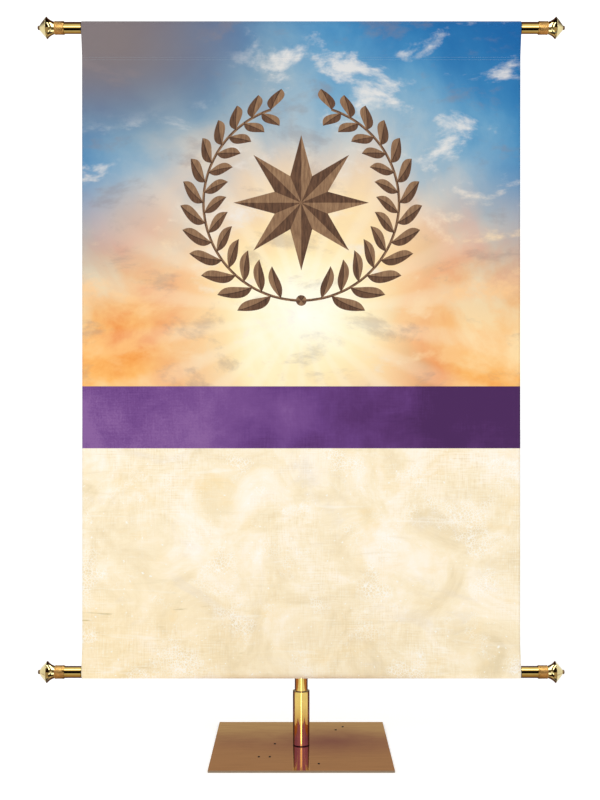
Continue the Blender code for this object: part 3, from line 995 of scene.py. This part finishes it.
def finial_profile():
    """The crown's outline from its spigot to the hole in its tip, in fine steps and with a soft rim."""
    low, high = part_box("top_right_finial")
    rim = (high.z - low.z) / 2
    neck = ROD_RADIUS
    collar_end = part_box("top_right_collar")[1].x
    rim_at = 18.7 * MM
    tip_at = high.x - collar_end
    tip = 7.8 * MM
    soft = 0.5 * MM
    inside = low.x - collar_end
    flare = [
        (rim_at * s, neck + (rim - soft - neck) * (0.55 * s + 0.45 * s**3))
        for s in (step / 28 for step in range(29))
    ]
    lip = [
        (rim_at + soft * (1 - math.cos(a)), rim - soft + soft * math.sin(a))
        for a in (math.pi * step / 8 for step in range(1, 8))
    ]
    start = rim_at + 2 * soft
    wide = rim - soft
    cone = [
        (
            start + (tip_at - 0.6 * MM - start) * s,
            wide + (tip - wide) * s + 0.6 * MM * math.sin(math.pi * s),
        )
        for s in (step / 16 for step in range(17))
    ]
    spigot = ROD_RADIUS - 1.8 * MM
    hole = 2.9 * MM
    return [
        (inside, 0),
        (inside, spigot - 0.8 * MM),
        (inside + 0.8 * MM, spigot),
        (-5.1 * MM, spigot),
        (-5.1 * MM, neck),
        *flare,
        *lip,
        *cone,
        (tip_at, tip - 0.6 * MM),
        (tip_at, hole),
        (tip_at - 8 * MM, hole),
        (tip_at - 8 * MM, 0),
    ]


def button_profile():
    """A small domed screw head with a shank."""
    low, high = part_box("top_right_button")
    head = (high.z - low.z) / 2
    shank = head / 2
    collar_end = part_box("top_right_collar")[1].x
    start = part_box("top_right_finial")[1].x - collar_end + 0.3 * MM
    end = high.x - collar_end
    side = start + 0.62 * (end - start)
    dome = [
        (side + (end - side) * math.sin(a), head * math.cos(a))
        for a in (math.pi / 2 * step / 10 for step in range(1, 10))
    ]
    return [
        (low.x - collar_end, 0),
        (low.x - collar_end, shank),
        (start, shank),
        (start, head - 0.6 * MM),
        (start + 0.6 * MM, head),
        (side, head),
        *dome,
        (end, 0),
    ]


class BANNER_OT_rod_ends(bpy.types.Operator):
    """Makes the knurled collar, the turned crown and the small screw on each rod end"""

    bl_idname = "banner.rod_ends"
    bl_label = "Rod ends"
    bl_options = {"REGISTER", "UNDO"}

    def execute(self, context):
        colours = context.scene.banner_brass
        polished = brass("polished_brass_crown", colours.turned, 0.03, cloud_mm=15, rub=0.01, lacquer=0.6)
        knurled = brass("knurled_brass", colours.knurled, 0.32, cloud_mm=7, change=0.08)
        dull = brass("dull_brass", colours.dull, 0.40, cloud_mm=6, change=0.12)
        collar_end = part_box("top_right_collar")[1].x
        for row, height in (("top", TOP_ROD_Z), ("bottom", BOTTOM_ROD_Z)):
            for side, sign in (("left", -1), ("right", 1)):
                place = (sign * collar_end, ROD_Y, height)
                axis = "X" if sign > 0 else "-X"
                node = f"{row}_{side}_"
                piece_from(
                    collar_shape(sign, height, colours.knurl),
                    node + "knurled_collar",
                    knurled,
                    UPRIGHT,
                    "knurled_brass",
                    node + "collar",
                    smooth_below=50,
                )
                piece_from(
                    turned(finial_profile(), axis, 128, place),
                    node + "turned_crown",
                    polished,
                    UPRIGHT,
                    "polished_brass",
                    node + "finial",
                )
                piece_from(
                    turned(button_profile(), axis, 40, place),
                    node + "tip_screw",
                    dull,
                    UPRIGHT,
                    "dull_brass",
                    node + "button",
                )
        return {"FINISHED"}


class BANNER_OT_pole(bpy.types.Operator):
    """Makes the pole, the saddle and bolt that join the top rod to it, and its socket"""

    bl_idname = "banner.pole"
    bl_label = "Pole and socket"
    bl_options = {"REGISTER", "UNDO"}

    def execute(self, context):
        colours = context.scene.banner_brass
        brushed = {"cloud_mm": 60, "grain": (700, 700, 6), "relief": 0.12, "lacquer": 0.6}
        satin = brass("satin_brass", colours.satin, 0.06, **brushed)
        dull = brass("dull_brass_bolt", colours.dull, 0.40, cloud_mm=6, change=0.12)
        low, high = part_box("pole")
        radius = high.x
        wall = TUBE_WALL
        profile = [
            (low.z, radius - wall),
            (low.z, radius - 0.4 * MM),
            (low.z + 0.4 * MM, radius),
            (high.z - 1.5 * MM, radius),
            (high.z - 0.9 * MM, radius - 0.1 * MM),
            (high.z - 0.4 * MM, radius - 0.45 * MM),
            (high.z - 0.1 * MM, radius - 1.0 * MM),
            (high.z, radius - 1.6 * MM),
            (high.z, 0),
            (high.z - wall, 0),
            (high.z - wall, radius - wall),
        ]
        pole = piece_from(
            turned(profile, "Z", 96, ring=True), "pole_tube", satin, UPRIGHT, "satin_brass", "pole"
        )
        hole = [
            (-2 * radius, 0),
            (-2 * radius, BOLT_RADIUS),
            (2 * radius, BOLT_RADIUS),
            (2 * radius, 0),
        ]
        cut_hole(pole, turned(hole, "Y", 24, (0, 0, TOP_ROD_Z)))

        low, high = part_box("socket")
        # Painted shade: dark rings at the socket's mouth, where the pole goes in, and at its foot on the
        # plate
        rings = [("Z", high.z - RING_MOUTH, high.z), ("Z", low.z, low.z + RING_FOOT)]
        ringed = brass("satin_brass_socket", colours.satin, 0.06, dark=rings, **brushed)
        outside = high.x
        bore = radius + 0.3 * MM
        ease = 0.8 * MM
        mouth = [
            (high.z - ease * (1 - math.sin(a)), outside - ease * (1 - math.cos(a)))
            for a in (math.pi / 2 * step / 6 for step in range(7))
        ]
        profile = [
            (low.z, bore),
            (low.z, outside - ease),
            (low.z + ease, outside),
            *mouth,
            (high.z, bore + ease),
            (high.z - ease, bore),
        ]
        piece_from(
            turned(profile, "Z", 96, ring=True), "socket_tube", ringed, STAND, "satin_brass", "socket"
        )
        merged_copy("rod_spacer", "rod_saddle", satin, UPRIGHT, "satin_brass")
        merged_copy("rod_bolt", "rod_bolt_head", dull, UPRIGHT, "dull_brass")
        return {"FINISHED"}


def merged_copy(node, name, material, body, slot):
    """A smooth-shaded copy of a small solid whose facets are fine enough as they are."""
    shape = bmesh.new()
    shape.from_mesh(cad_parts[node].data)
    return piece_from(shape, name, material, body, slot, node, smooth_below=40)


class BANNER_OT_plate(bpy.types.Operator):
    """Makes the square bronzed plate that stands on the floor"""

    bl_idname = "banner.plate"
    bl_label = "Base plate"
    bl_options = {"REGISTER", "UNDO"}

    def execute(self, context):
        low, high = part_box("base_plate")
        size = high - low
        shape = bmesh.new()
        bmesh.ops.create_cube(shape, size=1.0)
        bmesh.ops.scale(shape, verts=shape.verts, vec=size)
        bmesh.ops.translate(shape, verts=shape.verts, vec=(low + high) / 2)
        upright = [edge for edge in shape.edges if edge.calc_length() < 2 * size.z]
        bmesh.ops.bevel(
            shape, geom=upright, offset=PLATE_CORNER, segments=6, profile=0.5, affect="EDGES", material=-1
        )
        sharp = [edge for edge in shape.edges if edge.calc_face_angle(0) > math.radians(60)]
        bmesh.ops.bevel(
            shape, geom=sharp, offset=PLATE_EDGE, segments=2, profile=0.5, affect="EDGES", material=-1
        )
        bronzed = bronze_plate(context.scene.banner_brass.bronzed)
        piece_from(shape, "floor_plate", bronzed, STAND, "bronzed_plate", "base_plate")
        return {"FINISHED"}


# The stage


# What polished metal mirrors: tints, and tables of (degrees, brightness, tint)
BRIGHTEST = 6.0
WHITE = "#FFFFFF"
COOL = "#EAF2FF"
BROWN = "#8A6450"
RUST = "#E08A6A"
PLUM = "#9066D0"
SAND = "#F6DAB4"

# The room beyond the cards, by height: the floor all round, the strip above it, and the rest
UNDER = (
    (-90, 0.42, WHITE),
    (-60, 0.48, WHITE),
    (-36, 0.64, WHITE),
    (-18, 0.74, WHITE),
    (-17.3, 0.40, WHITE),
)
SKIRT = (
    (-15.2, 0.26, "#B86888"),
    (-14.95, 0.40, "#D08890"),
    (-14.77, 0.72, "#F0B090"),
    (-14.6, 1.02, "#FFDCB8"),
    (-14.43, 1.14, "#FFF0E0"),
    (-14.1, 1.12, "#FFF8F0"),
    (-13.74, 1.0, WHITE),
    (-13.4, 0.88, WHITE),
)
BEHIND_CAMERA = (
    (4, 0.8, WHITE),
    (8, 0.46, SAND),
    (38, 0.46, SAND),
    (60, 0.7, WHITE),
    (80, 0.55, WHITE),
)
FRONT_CORNER = (
    (-6, 0.9, WHITE),
    (-3, 0.04, BROWN),
    (20, 0.04, BROWN),
    (23, 1.6, WHITE),
    (60, 1.2, WHITE),
)
SIDE = (
    (9, 1.05, WHITE),
    (14, 0.9, WHITE),
    (48, 1.4, WHITE),
    (56, 0.05, BROWN),
    (80, 0.3, WHITE),
)
BACK_CORNER_UNDER = (
    (-90, 0.6, WHITE),
    (-30, 0.95, WHITE),
    (-17, 0.95, WHITE),
    (-16, 0.3, PLUM),
)
BACK_CORNER = (
    (8, 1.0, WHITE),
    (14, 0.85, WHITE),
    (21, 0.5, WHITE),
    (29, 0.3, BROWN),
    (33, 1.0, WHITE),
)
BACK = (
    (-90, 0.36, WHITE),
    (-62, 0.3, RUST),
    (-30, 0.16, RUST),
    (-4, 0.2, RUST),
    (4, 0.44, SAND),
    (38, 0.44, SAND),
    (42, 0.05, BROWN),
    (85, 0.05, BROWN),
    (88, 0.5, WHITE),
)

# The bearing, in degrees from the camera's side, from which each wall of the room begins
ROOM = (
    (0, UNDER + SKIRT + BEHIND_CAMERA),
    (22, UNDER + SKIRT + FRONT_CORNER),
    (60, UNDER + SKIRT + SIDE),
    (100, BACK_CORNER_UNDER + SKIRT + BACK_CORNER),
    (160, BACK),
)
BLEND = math.radians(2)

# How bright the white surroundings are to matt surfaces and to the camera
LIT = 0.83
SEEN = 1.2
FLOOR_RADIUS = 30.0
FLOOR_GLOW = 0.28
KEY_SIZE = (3.0, 2.0)
KEY_POWER = 30.0
KEY_PLACE = (-2.4, -3.2, 3.4)
KEY_AIM = (0, 0, 0.9)
CAMERA_ASIDE = -0.003
SENSOR = 36.0

# The tents round the rod ends, by angle round the rod from the camera's side
CROWN_TONES = (
    (-180, 0.06, BROWN),
    (-126, 0.20, WHITE),
    (-112, 0.34, WHITE),
    (-104, 0.70, SAND),
    (-90, 0.70, SAND),
    (-82, 0.16, BROWN),
    (-58, 0.04, BROWN),
    (-50, 2.2, WHITE),
    (-28, 2.2, WHITE),
    (-21, 0.20, SAND),
    (0, 0.14, SAND),
    (24, 0.10, SAND),
    (36, 4.0, WHITE),
    (98, 4.0, WHITE),
    (104, 0.4, WHITE),
    (110, 0.01, BROWN),
    (180, 0.01, BROWN),
)
ROD_TONES = (
    (-180, 0.10, RUST),
    (-118, 0.16, RUST),
    (-102, 0.36, SAND),
    (-74, 0.46, SAND),
    (-60, 0.52, SAND),
    (-50, 0.74, COOL),
    (-38, 0.70, COOL),
    (-33, 0.03, BROWN),
    (8, 0.01, BROWN),
    (14, 0.46, COOL),
    (25, 0.60, COOL),
    (29, 4.4, WHITE),
    (42, 4.4, WHITE),
    (48, 0.95, COOL),
    (72, 0.80, COOL),
    (86, 0.60, WHITE),
    (96, 0.10, RUST),
    (180, 0.10, RUST),
)
COLLAR_TONES = (
    (-180, 0.30, WHITE),
    (-115, 0.42, "#FFE0C8"),
    (-80, 0.60, "#FFE0C8"),
    (-45, 0.90, "#FFE0C8"),
    (-15, 0.66, WHITE),
    (10, 0.80, WHITE),
    (30, 1.10, WHITE),
    (60, 1.02, WHITE),
    (85, 1.0, WHITE),
    (110, 0.45, WHITE),
    (180, 0.3, WHITE),
)
GAP_TONES = (
    (-180, 0.03, BROWN),
    (-120, 0.10, BROWN),
    (-100, 0.45, SAND),
    (-84, 0.05, BROWN),
    (-46, 0.05, BROWN),
    (-24, 1.2, WHITE),
    (4, 0.35, SAND),
    (30, 0.03, BROWN),
    (180, 0.01, BROWN),
)
TENT = (
    (0.0, CROWN_TONES),
    (0.476, GAP_TONES),
    (0.520, CROWN_TONES),
    (0.552, ROD_TONES),
    (0.610, COLLAR_TONES),
)
TENT_FROM = 0.43
TENT_TO = 0.665
TENT_RADIUS = 0.14
TENT_TURN = 1.7

# What closes a tent's inner end, as shares of its radius above the rod: from, to, tint, brightness
TENT_END = (("upper", 0.0, 1.0, BROWN, 0.05), ("lower", -1.0, 0.0, SAND, 0.45))

# Cards that only polished metal sees: low corner, high corner, tint, brightness. Each has its mirror image.
CARDS = (
    ("plum", (0.34, -3.01, 0.60), (7.0, -3.0, 2.30), PLUM, 1.45),
    ("halo", (0.34, -2.96, 0.60), (0.85, -2.95, 1.10), "#BCB8FF", 1.6),
    ("low_streak", (0.0, -2.91, -0.72), (0.14, -2.90, -0.30), "#FFF8E8", 7.0),
    ("near_streak", (0.0, -0.501, 0.06), (0.033, -0.5, 0.131), "#FFF8FF", 9.0),
    ("far_streak", (0.0, -0.501, 0.131), (0.050, -0.5, 0.20), "#FFF2FF", 1.8),
    ("pole_edge", (0.26, 0.03, -0.15), (0.261, 0.15, 0.14), "#825A7C", 1.0),
    ("pole_edge_low", (0.26, 0.15, -0.15), (0.261, 0.62, 0.01), "#825A7C", 0.8),
    ("pole_outline", (0.26, 0.15, 0.01), (0.261, 0.62, 0.16), "#5A4A52", 0.3),
    ("side_fence", (0.400, -0.34, 0.085), (0.401, 0.35, 0.174), PLUM, 1.2),
    ("low_fence", (0.400, -0.34, 0.045), (0.401, 0.35, 0.085), "#E8A47C", 0.6),
    ("fence_back", (0.402, -0.35, 0.040), (0.403, 0.36, 0.180), WHITE, 0.9),
)


def tone_ramp(tree, place, tones):
    """A ramp of lights, given as (place from 0 to 1, brightness, tint), at a share of the brightest."""
    scale = add(tree, "ValToRGB", {0: place})
    ramp(scale, [(where, tint) for where, _, tint in tones])
    for element, (_, brightness, tint) in zip(scale.color_ramp.elements, tones):
        element.color = (*(share * brightness / BRIGHTEST for share in srgb(tint)), 1.0)
    return scale


def mirrored_only(name, shape, material):
    """A stage piece that shows only in polished metal."""
    mesh = bpy.data.meshes.new(name)
    shape.to_mesh(mesh)
    shape.free()
    mesh.materials.append(material)
    obj = bpy.data.objects.new(name, mesh)
    bpy.context.scene.collection.objects.link(obj)
    obj.visible_camera = False
    obj.visible_diffuse = False
    obj.visible_shadow = False
    return obj


def glowing(name, colour=None, strength=1.0):
    """A material that gives off light of one colour. Its tree comes with it for more."""
    material = bpy.data.materials.new(name)
    material.use_nodes = True
    material.cycles.emission_sampling = "NONE"
    tree = material.node_tree
    glow = add(tree, "Emission", {"Strength": strength})
    if colour:
        feed(tree, glow.inputs["Color"], rgba(colour))
    feed(tree, tree.nodes["Material Output"].inputs["Surface"], glow)
    return material, tree, glow


def tent_light():
    """Light and dark stripes along a tent, another set for each part of the rod end."""
    material, tree, glow = glowing("tent_light", strength=BRIGHTEST)
    split = add(tree, "SeparateXYZ", {0: add(tree, "TexCoord").outputs["Object"]})
    beside = math_node(tree, "ABSOLUTE", split.outputs["X"])
    ahead = math_node(tree, "MULTIPLY", split.outputs["Y"], -1.0)
    turn = math_node(tree, "ARCTAN2", split.outputs["Z"], ahead)
    share = math_node(tree, "MULTIPLY_ADD", turn, 1 / math.tau, 0.5)
    light = None
    for start, tones in TENT:
        stripes = tone_ramp(tree, share, [(angle / 360 + 0.5, *rest) for angle, *rest in tones])
        if light is None:
            light = stripes
        else:
            light = mixed(tree, math_node(tree, "GREATER_THAN", beside, start), light, stripes)
    feed(tree, glow.inputs["Color"], light)
    return material


def tent(name, side, height, tilt, material):
    """An open tube of light round one rod end, turned to face the camera."""
    shape = bmesh.new()
    bmesh.ops.create_cone(
        shape, segments=96, radius1=TENT_RADIUS, radius2=TENT_RADIUS, depth=TENT_TO - TENT_FROM
    )
    bmesh.ops.rotate(shape, verts=shape.verts, matrix=Matrix.Rotation(math.radians(90), 3, "Y"))
    bmesh.ops.translate(shape, verts=shape.verts, vec=(side * (TENT_FROM + TENT_TO) / 2, 0, 0))
    obj = mirrored_only(name, shape, material)
    obj.location = (0, ROD_Y, height)
    obj.rotation_euler = (tilt, 0, 0)


def card(name, low, high, colour, strength):
    """A thin lit card that shows only in polished metal."""
    low, high = Vector(low), Vector(high)
    shape = bmesh.new()
    bmesh.ops.create_cube(shape, size=1.0)
    bmesh.ops.scale(shape, verts=shape.verts, vec=high - low)
    bmesh.ops.translate(shape, verts=shape.verts, vec=(low + high) / 2)
    mirrored_only(name, shape, glowing(name, colour, strength)[0])


def studio_world():
    """White to the camera, even to matt surfaces, and a room of light and dark zones to polished metal."""
    world = bpy.data.worlds.new("studio")
    bpy.context.scene.world = world
    world.use_nodes = True
    tree = world.node_tree
    tree.nodes.clear()
    out = add(tree, "OutputWorld")
    split = add(tree, "SeparateXYZ", {0: add(tree, "TexCoord").outputs["Generated"]})
    beside = math_node(tree, "ABSOLUTE", split.outputs["X"])
    ahead = math_node(tree, "MULTIPLY", split.outputs["Y"], -1.0)
    bearing = math_node(tree, "ARCTAN2", beside, ahead)
    rise = math_node(tree, "ARCSINE", split.outputs["Z"])
    height = math_node(tree, "MULTIPLY_ADD", rise, 1 / math.pi, 0.5)
    room = None
    for start, tones in ROOM:
        zone = tone_ramp(tree, height, [(degrees / 180 + 0.5, *rest) for degrees, *rest in tones])
        if room is None:
            room = zone
        else:
            edge = math.radians(start)
            room = mixed(tree, smooth(tree, bearing, edge - BLEND, edge + BLEND), room, zone)
    mirrored = add(tree, "Background", {"Color": room, "Strength": BRIGHTEST})
    lit = add(tree, "Background", {"Color": rgba(WHITE), "Strength": LIT})
    seen = add(tree, "Background", {"Color": rgba(WHITE), "Strength": SEEN})
    path = add(tree, "LightPath")
    indoors = add(tree, "MixShader", {0: path.outputs["Is Glossy Ray"], 1: lit, 2: mirrored})
    whole = add(tree, "MixShader", {0: path.outputs["Is Camera Ray"], 1: indoors, 2: seen})
    feed(tree, out.inputs["Surface"], whole)


class BANNER_OT_stage(bpy.types.Operator):
    """Sets the floor, the studio light and the camera"""

    bl_idname = "banner.stage"
    bl_label = "Stage"
    bl_options = {"REGISTER", "UNDO"}

    def execute(self, context):
        stage = context.scene.banner_stage
        context.scene.view_settings.view_transform = "Standard"
        studio_world()

        shape = bmesh.new()
        bmesh.ops.create_circle(shape, cap_ends=True, segments=96, radius=FLOOR_RADIUS)
        mesh = bpy.data.meshes.new("floor")
        shape.to_mesh(mesh)
        shape.free()
        floor = bpy.data.objects.new("floor", mesh)
        context.scene.collection.objects.link(floor)
        material, tree, shader = new_material("pale_floor", Roughness=0.9, Specular_IOR_Level=0.0)
        feed(tree, shader.inputs["Base Color"], (*stage.floor, 1.0))
        feed(tree, shader.inputs["Emission Color"], rgba(WHITE))
        feed(tree, shader.inputs["Emission Strength"], FLOOR_GLOW)
        mesh.materials.append(material)
        floor.visible_glossy = False

        key = bpy.data.lights.new("key", "AREA")
        key.shape = "RECTANGLE"
        key.size, key.size_y = KEY_SIZE
        key.energy = KEY_POWER
        key_light = bpy.data.objects.new("key", key)
        context.scene.collection.objects.link(key_light)
        key_light.location = KEY_PLACE
        aim = Vector(KEY_AIM) - key_light.location
        key_light.rotation_euler = aim.to_track_quat("-Z", "Y").to_euler()
        key_light.visible_glossy = False

        for name, low, high, colour, strength in CARDS:
            card(name + "_right", low, high, colour, strength)
            card(name + "_left", (-high[0], *low[1:]), (-low[0], *high[1:]), colour, strength)

        light = tent_light()
        for row, height in (("top", TOP_ROD_Z), ("bottom", BOTTOM_ROD_Z)):
            tilt = TENT_TURN * math.atan2(height - stage.camera_height, stage.camera_distance + ROD_Y)
            for side, sign in (("left", -1), ("right", 1)):
                tent(f"{row}_{side}_tent", sign, height, tilt, light)
                for part, low, high, tint, brightness in TENT_END:
                    x = sign * (TENT_FROM - 1 * MM)
                    corner = (x - 0.5 * MM, ROD_Y - TENT_RADIUS, height + low * TENT_RADIUS)
                    opposite = (x + 0.5 * MM, ROD_Y + TENT_RADIUS, height + high * TENT_RADIUS)
                    card(f"{row}_{side}_{part}_end", corner, opposite, tint, brightness)

        lens = bpy.data.cameras.new("camera")
        lens.lens = stage.lens
        lens.sensor_width = SENSOR
        camera = bpy.data.objects.new("camera", lens)
        context.scene.collection.objects.link(camera)
        camera.location = (CAMERA_ASIDE, -stage.camera_distance, stage.camera_height)
        camera.rotation_euler = (math.pi / 2 - stage.tilt, 0, 0)
        context.scene.camera = camera
        return {"FINISHED"}


class BANNER_PT_sidebar(bpy.types.Panel):
    bl_idname = "BANNER_PT_sidebar"
    bl_label = "Church Banner"
    bl_space_type = "VIEW_3D"
    bl_region_type = "UI"
    bl_category = "Banner"

    def draw(self, context):
        layout = self.layout
        for title, group in (
            ("Cloth", context.scene.banner_cloth),
            ("Brass", context.scene.banner_brass),
            ("Stage", context.scene.banner_stage),
        ):
            box = layout.box()
            box.label(text=title)
            for name in group.__annotations__:
                box.prop(group, name)
        for operator in OPERATORS:
            layout.operator(operator.bl_idname)


OPERATORS = (
    BANNER_OT_cloth,
    BANNER_OT_rods,
    BANNER_OT_rod_ends,
    BANNER_OT_pole,
    BANNER_OT_plate,
    BANNER_OT_stage,
)
SETTINGS = {
    "banner_cloth": BannerClothSettings,
    "banner_brass": BannerBrassSettings,
    "banner_stage": BannerStageSettings,
}


def register():
    for cls in (*SETTINGS.values(), *OPERATORS, BANNER_PT_sidebar):
        bpy.utils.register_class(cls)
    for name, cls in SETTINGS.items():
        setattr(bpy.types.Scene, name, bpy.props.PointerProperty(type=cls))


def unregister():
    for name in SETTINGS:
        delattr(bpy.types.Scene, name)
    for cls in reversed((*SETTINGS.values(), *OPERATORS, BANNER_PT_sidebar)):
        bpy.utils.unregister_class(cls)


def main():
    register()
    bpy.ops.banner.cloth()
    bpy.ops.banner.rods()
    bpy.ops.banner.rod_ends()
    bpy.ops.banner.pole()
    bpy.ops.banner.plate()
    bpy.ops.banner.stage()


if __name__ == "__main__":
    main()
